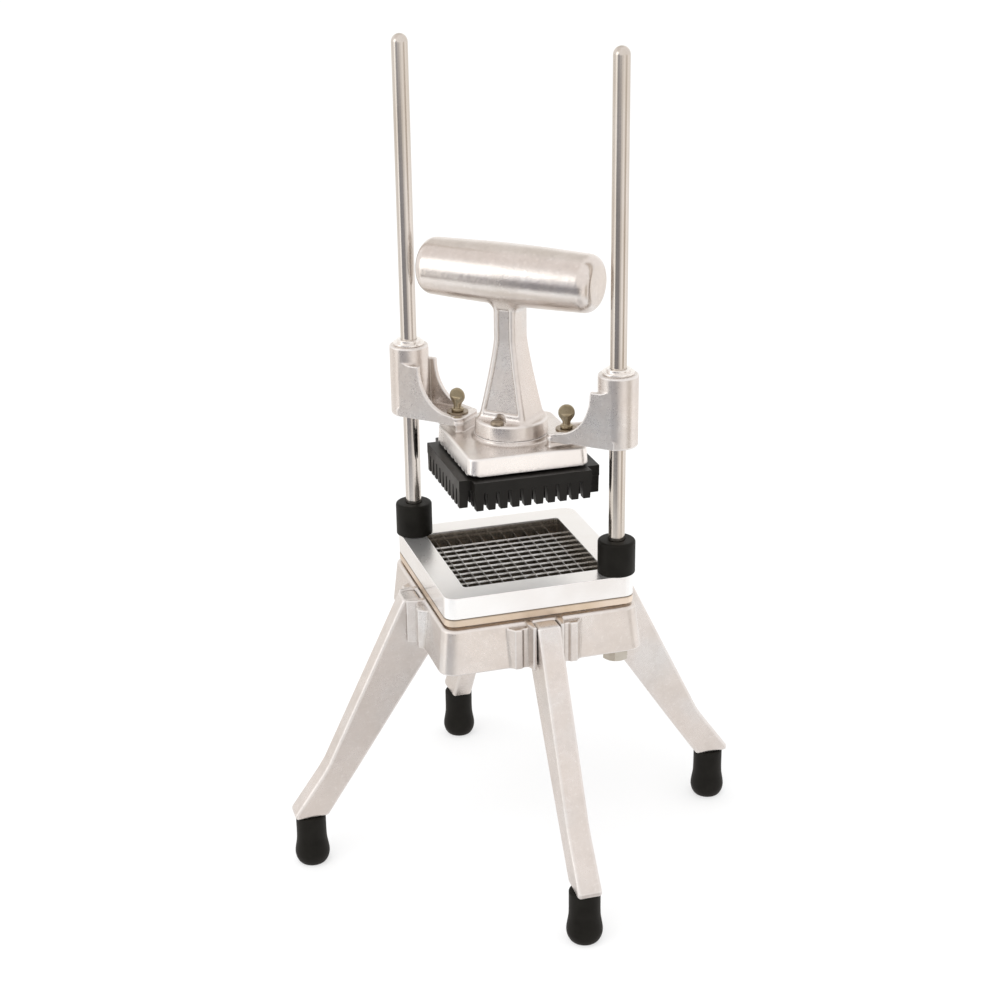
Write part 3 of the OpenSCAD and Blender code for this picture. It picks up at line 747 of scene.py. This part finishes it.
def f_head(u, v, z):
    au = np.abs(u)
    x, y = (u + v) * S2, (v - u) * S2
    half = 48.5 - 1.0 * (z - HEAD) / 16
    plate = inter(rect(x, y, half, half, 7.6), slab(z, HEAD, PLATE), 1.6)
    boss = inter(ln(u, v) - 29.6, slab(z, PLATE - 3, SEAT), 0.4)
    plate = join(plate, boss, 2.6)
    floor2 = rect(au - 66.8, v, 30.35, 15.5, 6)
    floor = inter(floor2, slab(z, ARM0, ARM1), 0.9)
    pad = np.maximum(inter(floor2, slab(z, PLATE - 2, ARM0 + 2), 0.2), rect(x, y, 40, 40, 6))
    plate = join(plate, pad, 1.8)
    web = poly(au, z, WEB)
    av = np.abs(v)
    web = inter(web, slab(av, 11.3, 15.5), 0.9)
    hous = inter(ln(au - ROD_C, v) - 15.5, slab(z, ARM0, HOUS), 1.5)
    arm = join(floor, web, 2.2)
    arm = join(arm, hous, 2.4)
    arm = np.maximum(arm, av - 15.5)
    shape = join(plate, arm, 1.8)
    # the blends may not push the flat underside of the arms down
    clear = np.clip(2.5 - rect(x, y, 48.5, 48.5, 7.6), 0, 2.5)
    shape = np.maximum(shape, ARM0 - z - 8 * clear)
    # hollow below, with its bosses and ribs
    hol = inter(rect(x, y, 42.5, 42.5, 3), z - (HEAD + 10), 1.5)
    keep = np.minimum(ln(au - THUMB, v) - 9, ln(u, av - 23.5) - 7.5)
    keep = np.minimum(keep, np.maximum(np.abs(av - 9) - 2, au - 60))
    shape = cut(shape, np.maximum(hol, -keep), 0.5)
    shape = np.maximum(shape, -(ln(au - ROD_C, v) - 9.55))
    shape = cut(shape, np.maximum(ln(au - THUMB, v) - 3.4, z - 380), 0.4)
    return shape


def col_w(z):
    t = np.clip((431 - z) / 58, 0, 1.08) ** 1.2
    return 9.5 + 9.8 * t, 12.0 + 5.5 * t


def f_handle(u, v, z):
    au, av = np.abs(u), np.abs(v)
    w1, w2 = col_w(z)
    col = np.maximum(rect(u, v, w1, w2, 4.0) * 0.94, slab(z, 360, 476))
    # recessed panels in the two broad faces
    slope = np.clip((av - (w2 - 1.7)) / 1.7, 0, 1.6)
    side = rect(u, z - 414.6, w1 - 5.0 + slope, 40.4 + 0.8 * slope, 1.6) * 0.85
    panel = np.maximum(side, (w2 - 1.7) - av)
    col = cut(col, panel, 0.7)
    radius = 23.6 - 1.5 * (np.clip(au, 0, 74) / 67) ** 1.6
    rho = ln(v, z - GRIP_Z)
    qa, qb = rho - (radius - 9), au - (74 - 9)
    grip = ln(pos(qa), pos(qb)) + np.minimum(np.maximum(qa, qb), 0) - 9
    shape = join(col, grip, 6.0)
    rf = 29.0 - 0.9 * np.clip((z - SEAT) / 12, 0, 1)
    flange = inter(inter(ln(u, v) - rf, z - 367, 1.8), SEAT - z, 0.4)
    shape = join(shape, flange, 4.2)
    scal = inter(ln(u, av - 23.5) - 7.0, slab(z, 367, 373.4), 1.0)
    shape = cut(shape, scal, 0.5)
    shape = np.maximum(shape, -np.maximum(ln(u, av - 23.5) - 2.7, z - 380))
    return shape


def f_thumb(x, y, z):
    """Spade-headed screw in its own frame, z up from the collar's seat."""
    disc = inter(ln(x, z - 12.3) - 6.4, np.abs(y) - 1.6, 0.8)
    rho = ln(x, y)
    stem = np.maximum(rho - 3.1, slab(z, 0.5, 10))
    top = join(disc, stem, 2.0)
    collar = inter(rho - 4.9, slab(z, 0, 2.6), 0.7)
    top = join(top, collar, 0.6)
    shank = inter(rho - 3.175, slab(z, -36.2, 0.6), 0.7)
    return np.minimum(top, shank)


cast("v_base_casting", f_base, (-92.9, -92.9, 190.4), (92.9, 92.9, 227.9), 0.95, 0.38, "base", ["base_casting"],
     M["cast_aluminium"])
for side, deg in (("front", 270), ("right", 0), ("back", 90), ("left", 180)):
    cast("v_leg_" + side, f_leg, (66, -10.1, 43.4), (189.4, 10.1, 226.6), 1.0, 0.4, "base", ["leg_" + side],
         M["cast_aluminium"], turn=deg)
cast("v_head_casting", f_head, (-107, -68, 335.4), (107, 68, 414.6), 0.9, 0.42, "head", ["head_casting"],
     M["cast_aluminium"], turn=-45)
cast("v_t_handle", f_handle, (-74.1, -29.2, 354.9), (74.1, 29.2, 503.7), 0.85, 0.85, "head", ["t_handle"],
     M["cast_aluminium"], turn=-45)

# ------------------------------------------------------------------ thumb screws
for s, name, deg in ((-1, "left", -2), (1, "right", 28)):
    V, Q = surface(f_thumb, (-6.5, -5.1, -36.3), (6.5, 5.1, 18.8), 0.45 * COARSE)
    me = new_mesh("v_thumb_screw_" + name, V, Q)
    a = math.radians(deg - 45)
    R = np.array([[math.cos(a), -math.sin(a), 0], [math.sin(a), math.cos(a), 0], [0, 0, 1]])
    finish_cast(me, f_thumb, R, (s * THUMB * S2, -s * THUMB * S2, ARM1 + 1.2))
    add("v_thumb_screw_" + name, me, "screw_" + name, ["thumb_screw_" + name], M["thumb_bronze"])
    lathe("v_thumb_washer_" + name, [(3.4, ARM1), (8.3, ARM1), (8.5, ARM1 + 0.2), (8.5, ARM1 + 1.0), (8.3, ARM1 + 1.2), (3.4, ARM1 + 1.2)],
          "washer_" + name, ["thumb_washer_" + name], M["dull_steel"], at=(s * THUMB * S2, -s * THUMB * S2), segs=64)

# ------------------------------------------------------------------ turned pieces
for s, name in ((-1, "left"), (1, "right")):
    at = (s * ROD, -s * ROD)
    lathe("v_guide_rod_" + name,
          [(0, 176.9), (5.15, 176.9), (6.35, 178.1)] + arc(0, TIP - 6.35, 6.35, 0, 90, 14)[:-1] + [(0, TIP)],
          "base", ["guide_rod_" + name], M["rod_steel"], at=at, segs=96)
    lathe("v_bumper_" + name,
          [(11.4, F2), (14.0, F2)] + arc(14.0, F2 + 0.75, 0.75, -90, 0, 4)[1:] + arc(12.75, F2 + 25, 2.0, 0, 90, 6)
          + [(7.4, F2 + 27), (6.4, F2 + 26.2), (6.4, F2 + 8.6), (11.4, F2 + 8.6)],
          "base", ["bumper_" + name], M["foot_rubber"], at=at)
    lathe("v_bushing_upper_" + name,
          [(6.4, HOUS - 18), (9.5, HOUS - 18), (9.5, HOUS), (12.0, HOUS)] + arc(12.0, HOUS + 0.4, 0.4, -90, 0, 3)[1:]
          + arc(11.6, HOUS + 1.4, 0.8, 0, 90, 4) + [(9.5, HOUS + 2.2), (9.5, HOUS + 3.7)] + arc(8.9, HOUS + 3.8, 0.6, 0, 90, 3)
          + arc(7.0, HOUS + 3.8, 0.6, 90, 180, 3),
          "head", ["bushing_upper_" + name], M["bushing_metal"], at=at)
    lathe("v_bushing_lower_" + name,
          [(6.9, ARM0), (9.0, ARM0), (9.5, ARM0 + 0.5), (9.5, ARM0 + 18), (6.4, ARM0 + 18), (6.4, ARM0 + 0.5)],
          "head", ["bushing_lower_" + name], M["bushing_metal"], at=at)
for a, x, y in (("front", 0, -175.5), ("right", 175.5, 0), ("back", 0, 175.5), ("left", -175.5, 0)):
    out = curve_profile([(9.4, 0.0), (10.7, 0.5), (12.0, 2.0), (13.2, 4.4), (13.9, 7.0), (14.1, 9.3), (13.9, 12.0), (13.35, 15.5),
                         (12.75, 19.0), (12.35, 22.5), (12.2, 28.0), (12.2, 34.0), (12.2, 40.6)], 4)
    lathe("v_foot_" + a, [(0, 0)] + out + arc(10.8, 42.0, 1.4, 0, 90, 5) + [(7.1, 43.4), (7.1, 14), (0, 14)],
          "base", ["foot_" + a], M["foot_rubber"], at=(x, y), segs=80, soft=50)

# ------------------------------------------------------------------ machined pieces
bevelled("blade_frame_upper", 1.1, 4, M["polished_aluminium"], 40,
         lambda m, e: m.z > F2 - 0.3)
bevelled("blade_frame_lower", 0.5, 3, M["tan_aluminium"], 40,
         lambda m, e: max(abs(m.x), abs(m.y)) > 75 and m.z > 228.5)
bevelled("pusher_block", 0.45, 2, M["pusher_plastic"], 40)

# ------------------------------------------------------------------ camera
cam_data = bpy.data.cameras.new("camera")
cam = bpy.data.objects.new("camera", cam_data)
bpy.context.scene.collection.objects.link(cam)
cam_data.sensor_width = 36.0
cam_data.sensor_fit = "HORIZONTAL"
cam_data.lens = 66.62
right = Vector((0.955932, -0.293320, -0.012531))
up = Vector((0.117163, 0.342004, 0.932366))
fw = Vector((0.269196, 0.892747, -0.361299))
back = -fw
place = Vector((-0.405105, -1.309972, 0.827672))
cam.matrix_world = Matrix(((right.x, up.x, -fw.x, place.x), (right.y, up.y, -fw.y, place.y), (right.z, up.z, -fw.z, place.z), (0, 0, 0, 1)))
cam_data.clip_start, cam_data.clip_end = 0.02, 60
bpy.context.scene.camera = cam

# ------------------------------------------------------------------ floor, light
me = bpy.data.meshes.new("floor")
me.from_pydata([(-12, -12, 0), (12, -12, 0), (12, 12, 0), (-12, 12, 0)], [], [(0, 1, 2, 3)])
floor = bpy.data.objects.new("floor", me)
bpy.context.scene.collection.objects.link(floor)
fm = Nodes("floor")
fm.set(Base_Color=fm.ramp(fm.noise(3, 2, 0.5), [(0.3, (0.90, 0.90, 0.90)), (0.7, (0.92, 0.92, 0.92))]), Roughness=0.9)
fm.b.inputs["Specular IOR Level"].default_value = 0.0
glow = fm.t.nodes.new("ShaderNodeEmission")
glow.inputs[0].default_value = (1, 1, 1, 1)
glow.inputs[1].default_value = 0.55
both = fm.t.nodes.new("ShaderNodeMixShader")
both.inputs[0].default_value = 0.55
fm.link(fm.b.outputs[0], both.inputs[1])
fm.link(glow.outputs[0], both.inputs[2])
glow.inputs[1].default_value = 1.05
# painted shade and painted reflections, seen only by the metal's reflections: dark patches on the sheet, the first a
# painted shadow round the piece; turn from the camera (left is negative), distance, size, shade
SPOTS = ((0, 0.0, 0.25, 0.60, 0.75, (0.90, 0.85, 0.82), 0.98),
         (6, 0.33, 0.10, 0.26, 0.85, (0.66, 0.625, 0.61), 1.0),
         (-148, 0.60, 0.30, 0.50, 0.8, (0.80, 0.75, 0.70), 1.0),
         (37, 0.74, 0.09, 0.20, 0.85, (0.79, 0.735, 0.705), 1.0),
         (-147, 0.43, 0.05, 0.13, 0.7, (0.50, 0.46, 0.41), 1.0),
         (-71, 0.36, 0.06, 0.16, 0.6, (0.66, 0.61, 0.54), 1.0))
# the metal sees only the near part of the sheet, and the room beyond it
length = fm.t.nodes.new("ShaderNodeVectorMath")
length.operation = "LENGTH"
fm.link(fm.tc, length.inputs[0])
far = fm.rng(length.outputs["Value"], 0.62, 0.95, 0.0, 1.0)
path = fm.t.nodes.new("ShaderNodeLightPath")
away = fm.math("MULTIPLY", far, path.outputs["Is Glossy Ray"])


def floor_spot(x, y, inner, outer, most):
    v = fm.t.nodes.new("ShaderNodeVectorMath")
    v.operation = "DISTANCE"
    fm.link(fm.tc, v.inputs[0])
    v.inputs[1].default_value = (x, y, 0)
    return fm.math("MULTIPLY", fm.rng(v.outputs["Value"], inner, outer, most, 0.0), path.outputs["Is Glossy Ray"])


def floor_shade(shader, fac, colour, strength):
    e = fm.t.nodes.new("ShaderNodeEmission")
    e.inputs[0].default_value = (*colour, 1)
    e.inputs[1].default_value = strength
    m = fm.t.nodes.new("ShaderNodeMixShader")
    fm.link(fac, m.inputs[0])
    fm.link(shader, m.inputs[1])
    fm.link(e.outputs[0], m.inputs[2])
    return m.outputs[0]


shade = both.outputs[0]
for alpha, dist, inner, outer, most, colour, strength in SPOTS:
    a = math.radians(-107.2 + alpha)
    shade = floor_shade(shade, floor_spot(dist * math.cos(a), dist * math.sin(a), inner, outer, most), colour, strength)
clear = fm.t.nodes.new("ShaderNodeBsdfTransparent")
last = fm.t.nodes.new("ShaderNodeMixShader")
fm.link(away, last.inputs[0])
fm.link(shade, last.inputs[1])
fm.link(clear.outputs[0], last.inputs[2])
fm.link(last.outputs[0], fm.out.inputs[0])
floor.data.materials.append(fm.mat)

scene = bpy.context.scene
scene.view_settings.view_transform = "Standard"
scene.view_settings.look = "None"
scene.view_settings.exposure = 0.0
scene.view_settings.gamma = 1.0

world = bpy.data.worlds.new("studio")
scene.world = world
world.use_nodes = True
wt = world.node_tree
wt.nodes.clear()
w_out = wt.nodes.new("ShaderNodeOutputWorld")
w_dir = wt.nodes.new("ShaderNodeTexCoord").outputs["Generated"]


def wnode(kind):
    return wt.nodes.new(kind)


def studio_dir(alpha, elev):
    """Direction alpha degrees to the left of the camera as the object sees it, elev degrees up."""
    a, e = math.radians(alpha), math.radians(elev)
    f = Vector((back.x, back.y, 0)).normalized()
    l = Vector((-right.x, -right.y, 0)).normalized()
    h = f * math.cos(a) + l * math.sin(a)
    return Vector((h.x * math.cos(e), h.y * math.cos(e), math.sin(e)))


def w_vec(v, op, b):
    m = wnode("ShaderNodeVectorMath")
    m.operation = op
    wt.links.new(v, m.inputs[0])
    m.inputs[1].default_value = b
    return m


def w_lobe(alpha, elev, inner, outer):
    """1 within inner degrees of a direction, falling to 0 at outer degrees."""
    dot = w_vec(w_dir, "DOT_PRODUCT", studio_dir(alpha, elev)).outputs["Value"]
    m = wnode("ShaderNodeMapRange")
    m.interpolation_type = "SMOOTHSTEP"
    m.inputs[1].default_value = math.cos(math.radians(outer))
    m.inputs[2].default_value = math.cos(math.radians(inner))
    m.inputs[3].default_value = 0.0
    m.inputs[4].default_value = 1.0
    wt.links.new(dot, m.inputs[0])
    return m.outputs[0]


def w_mix(fac, a, b):
    m = wnode("ShaderNodeMix")
    m.data_type = "RGBA"
    m.clamp_result = False
    wt.links.new(fac, m.inputs[0]) if isinstance(fac, bpy.types.NodeSocket) else setattr(m.inputs[0], "default_value", fac)
    for i, c in ((6, a), (7, b)):
        if isinstance(c, bpy.types.NodeSocket):
            wt.links.new(c, m.inputs[i])
        else:
            m.inputs[i].default_value = (*c, 1)
    return m.outputs[2]


def w_math(op, a, b=None):
    m = wnode("ShaderNodeMath")
    m.operation = op
    for i, v in enumerate((a, b)):
        if isinstance(v, bpy.types.NodeSocket):
            wt.links.new(v, m.inputs[i])
        elif v is not None:
            m.inputs[i].default_value = v
    return m.outputs[0]


def w_range(v, a, b, c, d):
    m = wnode("ShaderNodeMapRange")
    for i, q in enumerate((a, b, c, d)):
        m.inputs[1 + i].default_value = q
    wt.links.new(v, m.inputs[0])
    return m.outputs[0]


def w_ramp(fac, stops):
    r = wnode("ShaderNodeValToRGB")
    e = r.color_ramp.elements
    while len(e) < len(stops):
        e.new(0.5)
    for q, (p, c) in zip(e, stops):
        q.position = p
        q.color = (*c, 1)
    wt.links.new(fac, r.inputs[0])
    return r.outputs[0]


sep = wnode("ShaderNodeSeparateXYZ")
wt.links.new(w_dir, sep.inputs[0])
to_right = w_vec(w_dir, "DOT_PRODUCT", -studio_dir(90, 0)).outputs["Value"]
to_cam = w_vec(w_dir, "DOT_PRODUCT", studio_dir(0, 0)).outputs["Value"]
# turn round the object, 0 towards the camera and positive to the right of it
around = w_range(w_math("ARCTAN2", to_right, to_cam), -math.pi, math.pi, 0.0, 1.0)
ROOM = [(-180, (0.94, 0.91, 0.87)), (-112, (0.98, 0.94, 0.90)), (-102, (0.76, 0.72, 0.68)), (-88, (1.00, 0.95, 0.91)),
        (-72, (1.36, 1.32, 1.27)), (-64, (1.36, 1.32, 1.27)), (-60, (0.28, 0.275, 0.29)), (-24, (0.28, 0.27, 0.285)),
        (-19, (0.28, 0.265, 0.27)), (-5, (0.26, 0.245, 0.25)), (1, (0.68, 0.64, 0.61)), (18, (0.78, 0.735, 0.70)),
        (24, (1.12, 1.06, 1.01)), (44, (1.10, 1.04, 0.99)), (54, (0.58, 0.51, 0.44)), (70, (0.58, 0.51, 0.44)), (79, (1.18, 1.12, 1.07)),
        (95, (1.16, 1.10, 1.06)), (118, (1.04, 0.99, 0.95)), (180, (0.94, 0.91, 0.87))]
low = w_ramp(around, [((a + 180) / 360, c) for a, c in ROOM])
high = (1.04, 1.00, 0.98)
for alpha, elev, a, b, c in ((180, 8, 20, 46, (1.10, 1.08, 1.05)), (170, 50, 6, 34, (0.82, 0.78, 0.74)), (88, 58, 6, 30, (0.92, 0.86, 0.83)),
                             (66, 13, 8, 27, (1.90, 1.88, 1.85)), (42, 2, 6, 18, (0.60, 0.59, 0.62))):
    high = w_mix(w_lobe(alpha, elev, a, b), high, c)
col = w_mix(w_range(sep.outputs[2], -0.16, 0.02, 0.0, 1.0), low, high)
col = w_mix(w_lobe(70, -27, 3, 9), col, (0.30, 0.27, 0.25))
lp = wnode("ShaderNodeLightPath")
bg_gloss = wnode("ShaderNodeBackground")
wt.links.new(col, bg_gloss.inputs[0])
bg_gloss.inputs[1].default_value = 1.0
bg_soft = wnode("ShaderNodeBackground")
bg_soft.inputs[0].default_value = (1.0, 1.0, 1.0, 1)
bg_soft.inputs[1].default_value = 1.15
mix1 = wnode("ShaderNodeMixShader")
wt.links.new(lp.outputs["Is Glossy Ray"], mix1.inputs[0])
wt.links.new(bg_soft.outputs[0], mix1.inputs[1])
wt.links.new(bg_gloss.outputs[0], mix1.inputs[2])
wt.links.new(mix1.outputs[0], w_out.inputs[0])

key = bpy.data.lights.new("key", "AREA")
key.shape = "RECTANGLE"
key.size, key.size_y = 1.6, 1.2
key.energy = 14
ko = bpy.data.objects.new("key", key)
bpy.context.scene.collection.objects.link(ko)
ko.location = (-0.9, -0.7, 2.0)
ko.rotation_mode = "QUATERNION"
ko.rotation_quaternion = (Vector((0, 0, 0.3)) - Vector(ko.location)).to_track_quat("-Z", "Y")
ko.visible_glossy = False
